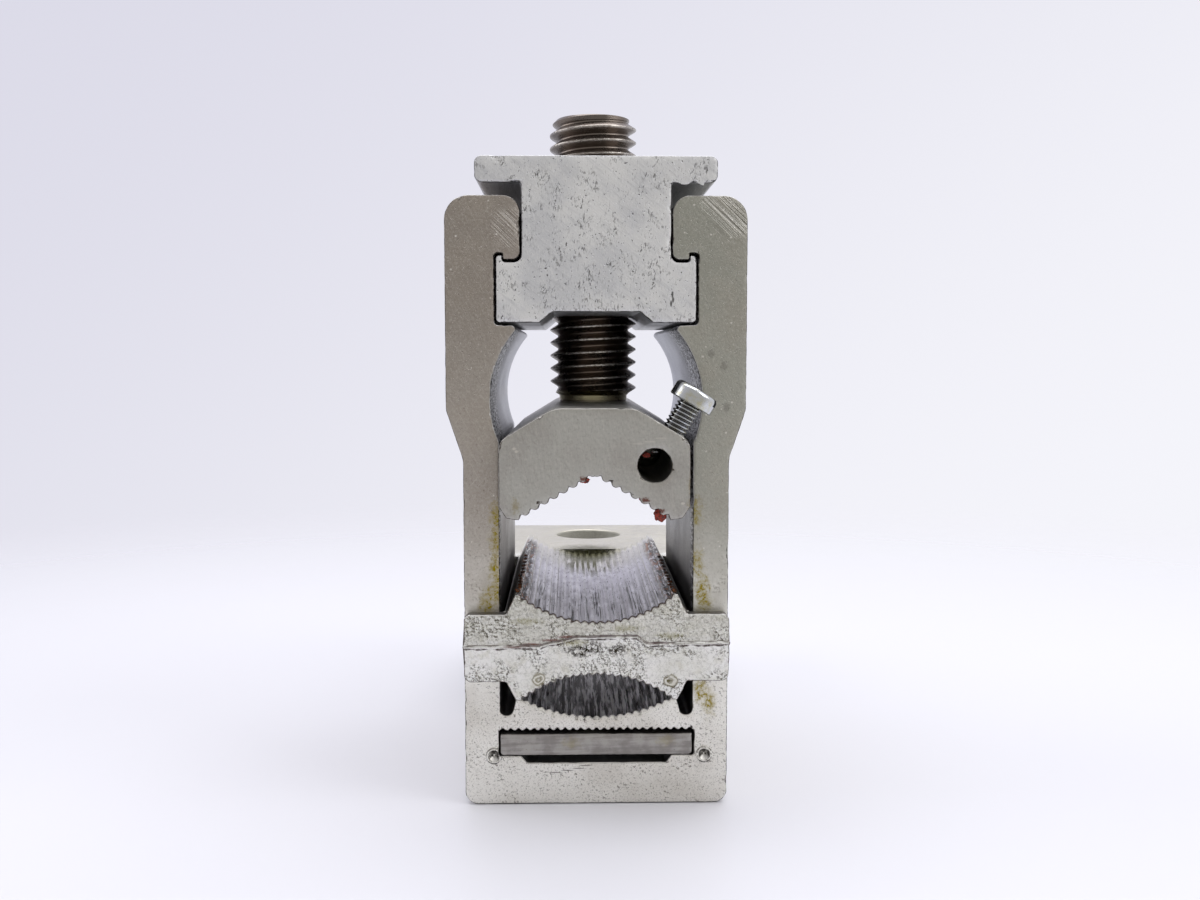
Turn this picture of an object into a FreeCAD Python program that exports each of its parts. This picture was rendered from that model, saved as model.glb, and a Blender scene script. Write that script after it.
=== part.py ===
import FreeCAD, Part
import math
import os

# Equipment terminal clamp, in millimetres.
# Origin: centre of the frame's flat base. +Z is up, -Y is the front, +Y is the palm end.

V = FreeCAD.Vector

# Frame extrusion, a section in X and Z that is extruded along Y
frame_length = 42.7
frame_height = 74.8
frame_half_width = 18.3
frame_waist_step = 2.05
frame_taper_below_relief = 1.2
frame_taper_height = 6.1
frame_foot_radius = 1.6
frame_taper_radius = 3.0
wall_thickness = 6.45

# Lips and T slot at the top of the walls
lip_overhang = 2.65
lip_outer_radius = 2.9
lip_inner_radius = 2.1
lip_height = 7.7
lip_nose_width = 2.1
lip_nose_radius = 0.95
lip_root_radius = 0.63
lip_notch_rise = 0.8
lip_notch_radius = 0.1
slot_undercut = 0.48
slot_corner_radius = 0.45
slot_height = 7.85
ledge_overhang = 2.05
ledge_nose_radius = 0.6

# Round relief in the walls, which lets the jaw rise
relief_undercut = 1.05
relief_below_ledge = 9.05

# Closed base of the frame
base_ridge_from_wall = 2.25
base_ridge_half_top = 0.3
base_ridge_z = 13.45
base_ridge_radius = 0.2
base_hollow_z = 11.1
groove_bottom_z = 11.2
groove_width = 1.35
groove_radius = 0.66
plate_slot_undercut = 0.2
plate_slot_floor_z = 6.1
plate_slot_roof_z = 9.55
plate_slot_radius = 0.2
recess_depth = 0.9
recess_from_slot_side = 2.7
recess_slope = 0.75

# Loose plate in the base
plate_thickness = 2.75
plate_side_gap = 0.12
plate_corner_radius = 0.55

# Bridge extrusion
bridge_side_gap = 0.2
bridge_vertical_gap = 0.3
bridge_stem_gap = 0.15
bridge_bead_gap = 0.05
bridge_foot_radius = 0.55
bridge_bead_radius = 0.15
bridge_stem_radius = 0.35
bridge_flange_reach = 5.45
bridge_flange_thickness = 3.2
bridge_flange_rise = 1.5
bridge_flange_radius = 0.9
bridge_channel_depth = 1.3
bridge_channel_half_width = 5.3
bridge_channel_slope_width = 1.6
bridge_tap_chamfer = 0.6

# Pressure screw
screw_radius = 5.9
screw_thread_gap = 0.05
screw_above_bridge = 8.0
screw_top_chamfer = 0.95
screw_end_chamfer = 0.75
screw_neck_length = 0.75
screw_socket_flats = 6.0
screw_socket_depth = 6.0
screw_socket_mouth_depth = 0.5
screw_socket_mouth_widening = 0.1
spigot_radius = 4.6
spigot_depth = 5.05
spigot_gap = 0.1
spigot_end_chamfer = 0.5

# Open spring ring that holds the jaw on the spigot
ring_half_section = 0.5
ring_chamfer = 0.2
ring_height = 1.9
ring_seat_gap = 0.05
ring_groove_gap = 0.15
ring_grip = 0.45
ring_opening_deg = 28.0

# Pressure jaw
jaw_below_relief = 0.75
jaw_side_gap = 0.6
jaw_top_half_width = 4.85
jaw_shoulder_deg = 31.4
jaw_shoulder_radius = 1.9
jaw_top_radius = 4.0
jaw_side_height = 11.55
jaw_height = 13.15
jaw_foot_from_side = 0.85
jaw_foot_rise = 0.25
jaw_foot_radius = 0.3
jaw_side_radius = 0.4
jaw_toe_from_side = 2.25
jaw_v_deg = 30.0
jaw_front_reach = 6.5
jaw_rear_inset = 0.9
jaw_turn_deg = -0.7

# Hole and screw for an auxiliary wire, in the jaw's right shoulder
wire_hole_radius = 2.0
wire_hole_from_side = 4.2
wire_hole_below_jaw_top = 6.7
wire_hole_depth = 22.0
drill_point_deg = 118.0
aux_screw_radius = 1.5
aux_thread_gap = 0.05
aux_screw_behind_front = 3.2
aux_shank_showing = 3.7
aux_head_radius = 2.75
aux_head_height = 2.0
aux_head_chamfer = 0.25
aux_slot_width = 0.8
aux_slot_depth = 0.9
aux_slot_turn_deg = 65.0
aux_tip_gap = 0.1
aux_tip_chamfer = 0.3

# Contact bar through the frame's window
bar_side_step = 0.1
bar_half_thickness = 4.15
bar_neck_gap = 0.5
bar_ridge_height = 2.4
bar_ridge_half_top = 0.3
bar_ridge_flank_width = 1.45
bar_ridge_root_radius = 0.3
bar_ridge_tip_radius = 0.25
bar_groove_depth = 3.2
bar_seat_gap = 0.05
bar_end_gap = 0.15
bar_flange_thickness = 2.1
bar_draft = 0.35
bar_parting_x = [-17.0, -6.9, -2.4, 4.9, 6.0, 17.0]
bar_parting_rise = [0.15, 0.25, 1.3, 1.4, 0.45, 0.6]
bar_corner_radius = 0.8
ridge_overrun = 7.2
palm_length = 36.2
palm_corner_radius = 3.0
palm_hole_radius = 5.5
palm_hole_from_frame = 24.7
palm_hole_chamfer = 0.3

# Teeth, V grooves that leave blunt tips
tooth_tip_share = 0.34
bar_tooth_pitch = 0.95
bar_tooth_depth = 0.3
roof_tooth_pitch = 0.95
roof_tooth_depth = 0.3
jaw_tooth_pitch = 1.37
jaw_tooth_depth = 0.4

# Cutting shapes run past the surfaces they open by this much
cut_overrun = 1.0

# Roundings take at most this share of an edge
room_share = 0.49

# Distances under this count as none
tolerance = 1e-6

# Places that follow from the sizes
front_y = -frame_length / 2
rear_y = frame_length / 2
frame_waist_half_width = frame_half_width - frame_waist_step
wall_inner_x = frame_half_width - wall_thickness
lip_inner_x = wall_inner_x - lip_overhang
slot_inner_x = wall_inner_x + slot_undercut
ledge_nose_x = wall_inner_x - ledge_overhang
relief_radius = wall_inner_x + relief_undercut
base_ridge_x = wall_inner_x - base_ridge_from_wall
plate_slot_half_width = wall_inner_x + plate_slot_undercut
recess_half_width = plate_slot_half_width - recess_from_slot_side
bridge_flange_half_width = lip_inner_x + bridge_flange_reach
bar_half_width = frame_waist_half_width - bar_side_step
bar_ridge_base_x = base_ridge_x + bar_ridge_flank_width
lip_nose_z = frame_height - lip_height
ledge_top_z = lip_nose_z - slot_height
relief_z = ledge_top_z - relief_below_ledge
frame_taper_top_z = relief_z - frame_taper_below_relief
frame_taper_bottom_z = frame_taper_top_z - frame_taper_height
jaw_top_z = relief_z - jaw_below_relief
jaw_side_bottom_z = jaw_top_z - jaw_side_height
jaw_foot_z = jaw_top_z - jaw_height
wire_hole_z = jaw_top_z - wire_hole_below_jaw_top
bar_mid_z = base_ridge_z + bar_seat_gap + bar_half_thickness + bar_ridge_height
jaw_half_width = wall_inner_x - jaw_side_gap
jaw_foot_x = jaw_half_width - jaw_foot_from_side
jaw_toe_x = jaw_half_width - jaw_toe_from_side
wire_hole_x = jaw_half_width - wire_hole_from_side
jaw_front_y = front_y - jaw_front_reach
jaw_rear_y = rear_y - jaw_rear_inset
bridge_foot_z = ledge_top_z + bridge_vertical_gap
bridge_flange_z = frame_height + bridge_flange_rise
bridge_top_z = bridge_flange_z + bridge_flange_thickness
screw_top_z = bridge_top_z + screw_above_bridge
screw_thread_end_z = jaw_top_z + screw_neck_length
spigot_end_z = jaw_top_z - spigot_depth
ring_z = spigot_end_z + ring_height


def mirrored(right_half):
    """Closed outline from its right half, listed from the bottom centre upwards."""
    left_half = [(-x, z, r) for x, z, r in reversed(right_half) if x > 0]
    return right_half + left_half


def corner_arc(before, corner, after, radius):
    """Start, middle and end of the arc that rounds one corner of an outline."""
    to_before = before - corner
    to_after = after - corner
    opening = to_before.getAngle(to_after)
    reach = radius / math.tan(opening / 2)
    room = room_share * min(to_before.Length, to_after.Length)
    if reach > room:
        reach = room
        radius = reach * math.tan(opening / 2)
    to_before.normalize()
    to_after.normalize()
    bisector = to_before + to_after
    bisector.normalize()
    centre = corner + bisector * (radius / math.sin(opening / 2))
    return corner + to_before * reach, centre - bisector * radius, corner + to_after * reach


def section(outline, y=0.0):
    """Face in the X-Z plane at y, from corners of (x, z, radius)."""
    corners = [V(x, y, z) for x, z, _ in outline]
    radii = [r for _, _, r in outline]
    edges = []
    first_point = None
    last_point = None
    for i, corner in enumerate(corners):
        start = corner
        end = corner
        if radii[i] > 0:
            after = corners[(i + 1) % len(corners)]
            start, middle, end = corner_arc(corners[i - 1], corner, after, radii[i])
        if last_point is not None and (start - last_point).Length > tolerance:
            edges.append(Part.makeLine(last_point, start))
        if radii[i] > 0:
            edges.append(Part.Arc(start, middle, end).toShape())
        if first_point is None:
            first_point = start
        last_point = end
    if (first_point - last_point).Length > tolerance:
        edges.append(Part.makeLine(last_point, first_point))
    return Part.Face(Part.Wire(edges))


def extruded(outline, y0, y1):
    """Solid of an outline between two places along the clamp."""
    return section(outline, y0).extrude(V(0, y1 - y0, 0))


def tooth_places(count):
    """Places along a row of teeth, in pitches, each with 0 for a tip's edge or 1 for a root."""
    places = []
    for i in range(count):
        places += [(i + tooth_tip_share / 2, 0), (i + 0.5, 1), (i + 1 - tooth_tip_share / 2, 0)]
    return [(0, 0)] + places + [(count, 0)]


def toothed_line(start, end, pitch, depth):
    """Teeth along a straight flank. Tips lie on it and roots to the left of its direction."""
    along = V(end[0] - start[0], 0, end[1] - start[1])
    count = max(2, round(along.Length / pitch))
    side = V(-along.z, 0, along.x)
    side.normalize()
    points = []
    for place, root in tooth_places(count):
        point = V(start[0], 0, start[1]) + along * (place / count) + side * (depth * root)
        points.append((point.x, point.z, 0))
    return points


def toothed_arc(half_chord, edge_z, middle_z, pitch, depth):
    """Teeth along a hollow that is level at x = 0, from right to left."""
    rise = abs(edge_z - middle_z)
    radius = (half_chord ** 2 + rise ** 2) / (2 * rise)
    up = 1 if edge_z > middle_z else -1
    centre_z = middle_z + up * radius
    half_angle = math.asin(half_chord / radius)
    count = max(2, round(2 * half_angle * radius / pitch))
    points = []
    for place, root in tooth_places(count):
        angle = half_angle * (1 - 2 * place / count)
        reach = radius + depth * root
        points.append((reach * math.sin(angle), centre_z - up * reach * math.cos(angle), 0))
    return points


def frame_outline():
    """Section of the frame, without the relief, the plate's slot and the recess."""
    notch_x = lip_inner_x + lip_nose_width
    notch_z = lip_nose_z + lip_notch_rise
    groove_inner_x = wall_inner_x - groove_width
    right = [
        (0, 0, 0),
        (frame_waist_half_width, 0, frame_foot_radius),
        (frame_waist_half_width, frame_taper_bottom_z, frame_taper_radius),
        (frame_half_width, frame_taper_top_z, frame_taper_radius),
        (frame_half_width, frame_height, lip_outer_radius),
        (lip_inner_x, frame_height, lip_inner_radius),
        (lip_inner_x, lip_nose_z, lip_nose_radius),
        (notch_x, lip_nose_z, lip_root_radius),
        (notch_x, notch_z, lip_notch_radius),
        (slot_inner_x, notch_z, slot_corner_radius),
        (slot_inner_x, ledge_top_z, slot_corner_radius),
        (ledge_nose_x, ledge_top_z, ledge_nose_radius),
        (ledge_nose_x, relief_z, 0),
        (wall_inner_x, relief_z, 0),
        (wall_inner_x, groove_bottom_z, groove_radius),
        (groove_inner_x, groove_bottom_z, groove_radius),
        (base_ridge_x + base_ridge_half_top, base_ridge_z, base_ridge_radius),
    ]
    left = [(-x, z, r) for x, z, r in reversed(right) if x > 0]
    hollow = toothed_arc(base_ridge_x - base_ridge_half_top, base_ridge_z, base_hollow_z,
                         bar_tooth_pitch, bar_tooth_depth)
    return right + hollow + left


def plate_slot_outline():
    """Slot through the base, with teeth in its roof."""
    half = plate_slot_half_width
    tip_z = plate_slot_roof_z - roof_tooth_depth
    roof = toothed_line((half, tip_z), (-half, tip_z), roof_tooth_pitch, -roof_tooth_depth)
    floor = [
        (-half, plate_slot_floor_z, plate_slot_radius),
        (half, plate_slot_floor_z, plate_slot_radius),
    ]
    return floor + roof


def make_clamp_frame():
    """U-shaped extrusion with its lips, relief, base hollow and plate slot."""
    body = extruded(frame_outline(), front_y, rear_y)
    relief = Part.makeCylinder(relief_radius, frame_length, V(0, front_y, relief_z), V(0, 1, 0))
    slot = extruded(plate_slot_outline(), front_y, rear_y)
    floor_z = plate_slot_floor_z
    recess = extruded([
        (-recess_half_width, floor_z + cut_overrun, 0),
        (-recess_half_width, floor_z, 0),
        (-recess_half_width + recess_slope, floor_z - recess_depth, 0),
        (recess_half_width - recess_slope, floor_z - recess_depth, 0),
        (recess_half_width, floor_z, 0),
        (recess_half_width, floor_z + cut_overrun, 0),
    ], front_y, rear_y)
    return body.cut(relief.fuse([slot, recess]))


def make_slot_plate():
    """Flat plate on the floor of the base's slot."""
    half = plate_slot_half_width - plate_side_gap
    top = plate_slot_floor_z + plate_thickness
    return extruded([
        (-half, plate_slot_floor_z, plate_corner_radius),
        (half, plate_slot_floor_z, plate_corner_radius),
        (half, top, plate_corner_radius / 2),
        (-half, top, plate_corner_radius / 2),
    ], front_y, rear_y)


def bridge_outline():
    """Section of the bridge, which follows the frame's T slot and lips."""
    bead_x = lip_inner_x + lip_nose_width + bridge_bead_gap
    stem = lip_inner_x - bridge_stem_gap
    foot = slot_inner_x - bridge_side_gap
    hollow_z = lip_nose_z - bridge_vertical_gap
    bead_z = hollow_z + lip_notch_rise
    channel_z = bridge_foot_z + bridge_channel_depth
    return mirrored([
        (0, channel_z, 0),
        (bridge_channel_half_width, channel_z, 0),
        (bridge_channel_half_width + bridge_channel_slope_width, bridge_foot_z, 0),
        (foot, bridge_foot_z, bridge_foot_radius),
        (foot, bead_z, bridge_foot_radius),
        (bead_x, bead_z, bridge_bead_radius),
        (bead_x, hollow_z, lip_root_radius),
        (stem, hollow_z, lip_nose_radius),
        (stem, bridge_flange_z, bridge_stem_radius),
        (bridge_flange_half_width, bridge_flange_z, bridge_flange_radius),
        (bridge_flange_half_width, bridge_top_z, bridge_flange_radius),
    ])


def make_bridge():
    """Closing piece with a tapped hole for the pressure screw."""
    body = extruded(bridge_outline(), front_y, rear_y)
    hole_radius = screw_radius + screw_thread_gap
    hole = Part.makeCylinder(hole_radius, bridge_top_z - bridge_foot_z, V(0, 0, bridge_foot_z))
    top_sink = Part.makeCone(hole_radius, hole_radius + bridge_tap_chamfer, bridge_tap_chamfer,
                             V(0, 0, bridge_top_z - bridge_tap_chamfer))
    return body.cut(hole.fuse(top_sink))


def make_pressure_screw():
    """Set screw at its thread's crest size, with a socket on top and a grooved spigot below."""
    groove_half = ring_half_section + ring_groove_gap
    groove_bottom = spigot_radius - ring_grip - ring_groove_gap
    half = [
        V(0, 0, spigot_end_z),
        V(spigot_radius - spigot_end_chamfer, 0, spigot_end_z),
        V(spigot_radius, 0, spigot_end_z + spigot_end_chamfer),
        V(spigot_radius, 0, ring_z - groove_half),
        V(groove_bottom, 0, ring_z - groove_half),
        V(groove_bottom, 0, ring_z + groove_half),
        V(spigot_radius, 0, ring_z + groove_half),
        V(spigot_radius, 0, screw_thread_end_z),
        V(screw_radius, 0, screw_thread_end_z + screw_end_chamfer),
        V(screw_radius, 0, screw_top_z - screw_top_chamfer),
        V(screw_radius - screw_top_chamfer, 0, screw_top_z),
        V(0, 0, screw_top_z),
        V(0, 0, spigot_end_z),
    ]
    body = Part.Face(Part.makePolygon(half)).revolve(V(0, 0, 0), V(0, 0, 1), 360)
    corner_radius = screw_socket_flats / math.sqrt(3)
    socket_floor_z = screw_top_z - screw_socket_depth
    turns = [math.radians(60 * i) for i in range(7)]
    corners = [V(corner_radius * math.cos(a), corner_radius * math.sin(a), socket_floor_z) for a in turns]
    socket = Part.Face(Part.makePolygon(corners)).extrude(V(0, 0, screw_socket_depth))
    mouth_radius = corner_radius + screw_socket_mouth_widening
    mouth = Part.makeCone(mouth_radius - screw_socket_mouth_depth, mouth_radius, screw_socket_mouth_depth,
                          V(0, 0, screw_top_z - screw_socket_mouth_depth))
    return body.cut(socket.fuse(mouth))


def make_retaining_ring():
    """Open spring ring in the jaw's groove, which reaches into the spigot's groove."""
    middle_radius = spigot_radius - ring_grip + ring_half_section
    far = ring_half_section
    near = ring_half_section - ring_chamfer
    corners = [(far, -near), (far, near), (near, far), (-near, far), (-far, near), (-far, -near),
               (-near, -far), (near, -far), (far, -near)]
    profile = Part.Face(Part.makePolygon([V(middle_radius + x, 0, ring_z + z) for x, z in corners]))
    profile.rotate(V(0, 0, 0), V(0, 0, 1), ring_opening_deg / 2 - 90)
    return profile.revolve(V(0, 0, 0), V(0, 0, 1), 360 - ring_opening_deg)


def shoulder_z(x):
    """Height of the jaw's slanted shoulder at x."""
    return jaw_top_z - (x - jaw_top_half_width) * math.tan(math.radians(jaw_shoulder_deg))


def turned(shape):
    """The jaw hangs loose and lies turned a little about the screw."""
    return shape.rotate(V(0, 0, 0), V(0, 0, 1), jaw_turn_deg)


def aux_axis():
    """Direction in which the auxiliary screw backs out of the jaw."""
    lean = math.radians(jaw_shoulder_deg)
    return V(math.sin(lean), 0, math.cos(lean))


def aux_distances():
    """Distance from the wire hole's centre to the shoulder and to the screw's tip, along the screw."""
    axis = aux_axis()
    to_shoulder = (jaw_top_half_width - wire_hole_x) * axis.x + (jaw_top_z - wire_hole_z) * axis.z
    return to_shoulder, wire_hole_radius + aux_tip_gap


def jaw_outline():
    """Section of the jaw, with the serrated V below."""
    apex_z = jaw_foot_z + jaw_toe_x * math.tan(math.radians(jaw_v_deg))
    right_flank = toothed_line((0, apex_z), (jaw_toe_x, jaw_foot_z), jaw_tooth_pitch, jaw_tooth_depth)
    right = right_flank + [
        (jaw_foot_x, jaw_foot_z + jaw_foot_rise, jaw_foot_radius),
        (jaw_half_width, jaw_side_bottom_z, jaw_side_radius),
        (jaw_half_width, shoulder_z(jaw_half_width), jaw_shoulder_radius),
        (jaw_top_half_width, jaw_top_z, jaw_top_radius),
    ]
    left = [(-x, z, r) for x, z, r in reversed(right) if x > 0]
    return right + left


def make_pressure_jaw():
    """V jaw with its spigot bore, the ring's groove, the wire hole and the tapped slanted hole."""
    body = extruded(jaw_outline(), jaw_front_y, jaw_rear_y)
    bore_radius = spigot_radius + spigot_gap
    bore_bottom = spigot_end_z - spigot_gap
    bore = Part.makeCylinder(bore_radius, jaw_top_z - bore_bottom, V(0, 0, bore_bottom))
    ring_outer = spigot_radius - ring_grip + 2 * ring_half_section
    groove_half = ring_half_section + ring_seat_gap
    groove = Part.makeCylinder(ring_outer + ring_seat_gap, 2 * groove_half, V(0, 0, ring_z - groove_half))
    point_height = wire_hole_radius / math.tan(math.radians(drill_point_deg / 2))
    wire_hole = Part.makeCylinder(wire_hole_radius, wire_hole_depth,
                                  V(wire_hole_x, jaw_front_y, wire_hole_z), V(0, 1, 0))
    drill_point = Part.makeCone(wire_hole_radius, 0, point_height,
                                V(wire_hole_x, jaw_front_y + wire_hole_depth, wire_hole_z), V(0, 1, 0))
    to_shoulder, _ = aux_distances()
    aux_start = V(wire_hole_x, jaw_front_y + aux_screw_behind_front, wire_hole_z)
    tapped = Part.makeCylinder(aux_screw_radius + aux_thread_gap, to_shoulder + cut_overrun,
                               aux_start, aux_axis())
    return turned(body.cut(bore.fuse([groove, wire_hole, drill_point, tapped])))


def make_auxiliary_screw():
    """Slotted cheese-head screw at its thread's crest size, leaning out of the jaw's shoulder."""
    to_shoulder, tip = aux_distances()
    under_head = to_shoulder + aux_shank_showing
    top = under_head + aux_head_height
    half = [
        V(0, 0, tip),
        V(aux_screw_radius - aux_tip_chamfer, 0, tip),
        V(aux_screw_radius, 0, tip + aux_tip_chamfer),
        V(aux_screw_radius, 0, under_head),
        V(aux_head_radius, 0, under_head),
        V(aux_head_radius, 0, top - aux_head_chamfer),
        V(aux_head_radius - aux_head_chamfer, 0, top),
        V(0, 0, top),
        V(0, 0, tip),
    ]
    screw = Part.Face(Part.makePolygon(half)).revolve(V(0, 0, 0), V(0, 0, 1), 360)
    slot_reach = aux_head_radius + cut_overrun
    slot = Part.makeBox(aux_slot_width, 2 * slot_reach, aux_slot_depth,
                        V(-aux_slot_width / 2, -slot_reach, top - aux_slot_depth))
    slot.rotate(V(0, 0, 0), V(0, 0, 1), aux_slot_turn_deg)
    screw = screw.cut(slot)
    screw.rotate(V(0, 0, 0), V(0, 1, 0), jaw_shoulder_deg)
    screw.translate(V(wire_hole_x, jaw_front_y + aux_screw_behind_front, wire_hole_z))
    return turned(screw)


def bar_half_outline(side):
    """Ridges and serrated groove on one side of the bar, from right to left (side +1) or back (-1)."""
    ridge_z = bar_mid_z + side * (bar_half_thickness + bar_ridge_height)
    base_z = bar_mid_z + side * bar_half_thickness
    groove_z = ridge_z - side * bar_groove_depth
    inner_x = base_ridge_x - bar_ridge_half_top
    groove = toothed_arc(inner_x, ridge_z, groove_z, bar_tooth_pitch, bar_tooth_depth)
    outline = [
        (bar_ridge_base_x, base_z, bar_ridge_root_radius),
        (base_ridge_x + bar_ridge_half_top, ridge_z, bar_ridge_tip_radius),
    ]
    outline += groove
    outline += [
        (-base_ridge_x - bar_ridge_half_top, ridge_z, bar_ridge_tip_radius),
        (-bar_ridge_base_x, base_z, bar_ridge_root_radius),
    ]
    return outline


def bar_outline(half_width):
    """Section of the bar with its ridges on both sides, at a given half width."""
    top_z = bar_mid_z + bar_half_thickness
    bottom_z = bar_mid_z - bar_half_thickness
    upper = bar_half_outline(1)
    lower = [(-x, z, r) for x, z, r in bar_half_outline(-1)]
    outline = [(half_width, top_z, bar_corner_radius)]
    outline += upper
    outline += [
        (-half_width, top_z, bar_corner_radius),
        (-half_width, bottom_z, bar_corner_radius),
    ]
    outline += lower
    outline.append((half_width, bottom_z, bar_corner_radius))
    return outline


def bar_nose(y_front):
    """Block whose front is drafted back from a parting line that wanders with x."""
    tall = bar_half_thickness + bar_ridge_height + cut_overrun
    back = y_front + bar_flange_thickness + cut_overrun
    wires = []
    for x, rise in zip(bar_parting_x, bar_parting_rise):
        z = bar_mid_z + rise
        top_y = y_front + bar_draft * (tall - rise) / bar_half_thickness
        low_y = y_front + bar_draft * (tall + rise) / bar_half_thickness
        wires.append(Part.makePolygon([
            V(x, y_front, z),
            V(x, top_y, bar_mid_z + tall),
            V(x, back, bar_mid_z + tall),
            V(x, back, bar_mid_z - tall),
            V(x, low_y, bar_mid_z - tall),
            V(x, y_front, z),
        ]))
    return Part.makeLoft(wires, True, True)


def make_contact_bar():
    """Reversible bar with a front flange, a serrated neck between the walls and a flat palm."""
    neck_front = front_y - bar_end_gap
    neck_rear = rear_y + bar_end_gap
    flange_front = neck_front - bar_flange_thickness
    ridge_end = rear_y + ridge_overrun
    flange = extruded(bar_outline(bar_half_width), flange_front, neck_front)
    flange = flange.common(bar_nose(flange_front))
    neck_half_width = wall_inner_x - bar_neck_gap
    neck = extruded(bar_outline(neck_half_width), neck_front, neck_rear)
    shoulder = extruded(bar_outline(bar_half_width), neck_rear, ridge_end)
    palm_end = rear_y + palm_length
    palm = Part.makeBox(2 * bar_half_width, palm_end - ridge_end, 2 * bar_half_thickness,
                        V(-bar_half_width, ridge_end, bar_mid_z - bar_half_thickness))
    far_edges = [e for e in palm.Edges
                 if e.BoundBox.ZLength > bar_half_thickness and e.BoundBox.YMin > palm_end - tolerance]
    palm = palm.makeFillet(palm_corner_radius, far_edges)
    bar = flange.fuse([neck, shoulder, palm]).removeSplitter()
    hole_y = rear_y + palm_hole_from_frame
    low_z = bar_mid_z - bar_half_thickness
    high_z = bar_mid_z + bar_half_thickness
    hole = Part.makeCylinder(palm_hole_radius, high_z - low_z, V(0, hole_y, low_z))
    wide = palm_hole_radius + palm_hole_chamfer
    top_sink = Part.makeCone(palm_hole_radius, wide, palm_hole_chamfer,
                             V(0, hole_y, high_z - palm_hole_chamfer))
    low_sink = Part.makeCone(wide, palm_hole_radius, palm_hole_chamfer, V(0, hole_y, low_z))
    return bar.cut(hole.fuse([top_sink, low_sink]))


def export(name, shape):
    """Write one piece, after checking that it is one valid solid."""
    if len(shape.Solids) != 1 or not shape.isValid():
        raise ValueError("%s: %d solids, valid %s" % (name, len(shape.Solids), shape.isValid()))
    solid = shape.Solids[0]
    print("%s: %.1f mm3" % (name, solid.Volume))
    solid.exportStep("parts/%s.step" % name)


os.makedirs("parts", exist_ok=True)
export("clamp_frame", make_clamp_frame())
export("slot_plate", make_slot_plate())
export("contact_bar", make_contact_bar())
export("bridge", make_bridge())
export("pressure_jaw", make_pressure_jaw())
export("retaining_ring", make_retaining_ring())
export("pressure_screw", make_pressure_screw())
export("auxiliary_screw", make_auxiliary_screw())
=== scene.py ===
import bmesh
import bpy
import math
from mathutils import Matrix, Vector, noise
from mathutils.bvhtree import BVHTree


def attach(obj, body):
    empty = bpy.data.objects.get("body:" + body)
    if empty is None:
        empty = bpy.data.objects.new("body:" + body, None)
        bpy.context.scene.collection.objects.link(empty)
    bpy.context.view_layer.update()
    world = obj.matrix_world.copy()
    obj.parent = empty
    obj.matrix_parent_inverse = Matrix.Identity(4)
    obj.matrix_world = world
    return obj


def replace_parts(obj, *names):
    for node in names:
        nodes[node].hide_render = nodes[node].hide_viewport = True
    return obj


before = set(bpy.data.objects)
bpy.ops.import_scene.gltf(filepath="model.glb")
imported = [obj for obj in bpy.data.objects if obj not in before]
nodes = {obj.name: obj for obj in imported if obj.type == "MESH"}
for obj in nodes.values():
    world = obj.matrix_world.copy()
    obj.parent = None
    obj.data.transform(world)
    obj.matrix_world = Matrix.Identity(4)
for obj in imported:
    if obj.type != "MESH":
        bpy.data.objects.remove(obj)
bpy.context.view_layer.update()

# Sizes are in millimetres and are scaled to metres where a mesh is made.
MM = 0.001

# Camera at the photograph's viewing point
camera_place = (-3.2, -172.65, 55.4)
camera_pitch_deg = -4.27
camera_yaw_deg = 1.38
camera_lens = 37.35
camera_sensor = 36.0
camera_nearest = 0.01

# Lamps (name, place, size, power) and what they point at, in metres and watts
lamps = [("top_light", (0.05, 0.1, 0.75), 0.7, 4.5),
         ("right_light", (0.6, -0.25, 0.45), 0.5, 2.0),
         ("left_light", (-0.6, 0.1, 0.35), 0.5, 1.5)]
lamp_target = (0, 0, 0.04)

# Floor, with its radius and the distances between which it fades in metres, and backdrop
floor_radius = 2.0
floor_drop = 0.05
floor_fade = (0.06, 0.32)
floor_colour = (208, 208, 213)
floor_roughness = 0.45
backdrop_slant = (0.75, 0.0, -0.9)
backdrop_high = (220, 219, 232)
backdrop_low = (245, 245, 251)
backdrop_dimmed = (0.56, 0.545, 0.525, 1.0)

# Ends of the pieces that face the camera
front_y = -21.35
bar_front_y = -23.6
jaw_front_y = -27.85

# Broken and worn edges of the sawn and cast pieces. An edge is broken by edge_break where it turns by more
# than edge_angle_deg. Wear moves points in the worn band behind the front. The calm strips behind that band
# and before the rear end keep the normals of the long sides even. Points closer than sliver are merged.
edge_break = 0.12
edge_angle_deg = 28.0
flat_angle_deg = 0.4
worn_band = 0.5
calm_strip = 0.3
weld = 0.002
sliver = 0.004

# Depth of the even wear on the front's edges, and how strongly its nicks deepen
wear_depth = 0.05
nick_depth = 0.35

# Mesh steps on the fronts, and the finer mesh round a mark
sawn_step = 0.6
plate_step = 0.5
cast_step = 0.22
fine_reach = 1.2
fine_step = 0.16

# Cast front of the contact bar: its middle, its parting line over x, the raised rings of two ejector pins
# and a cluster of pits
bar_mid_z = 20.05
parting_x = [-17.0, -6.9, -2.4, 4.9, 6.0, 17.0]
parting_rise = [0.15, 0.25, 1.3, 1.4, 0.45, 0.6]
parting_height = 0.2
pin_marks = [(-7.03, 16.23), (9.05, 15.88)]
pin_mark_radius = 0.6
pin_mark_height = 0.12
pit_cluster = (-2.28, 19.66)
pit_depth = 0.3

# Punch marks that hold the plate in the base's slot
stakes = [(-12.69, 6.1), (13.39, 6.15)]
stake_depth = 0.45
stake_radius = 0.42

# Torn lower edge of the bridge's right flange
burrs = [(10.2, 76.3), (12.3, 76.3)]
burr_reach = 3.4
burr_depth = 0.34

# Crumbs of dirt on top of the bar's ridges, in rows of (name, side, first y, last y)
bar_ridge_x = 9.6
bar_ridge_z = 26.6
crumb_rows = [("dirt_left", -1, -20.6, 10.0), ("dirt_right", 1, -20.9, 8.0)]
crumbs_in_row = 13

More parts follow.
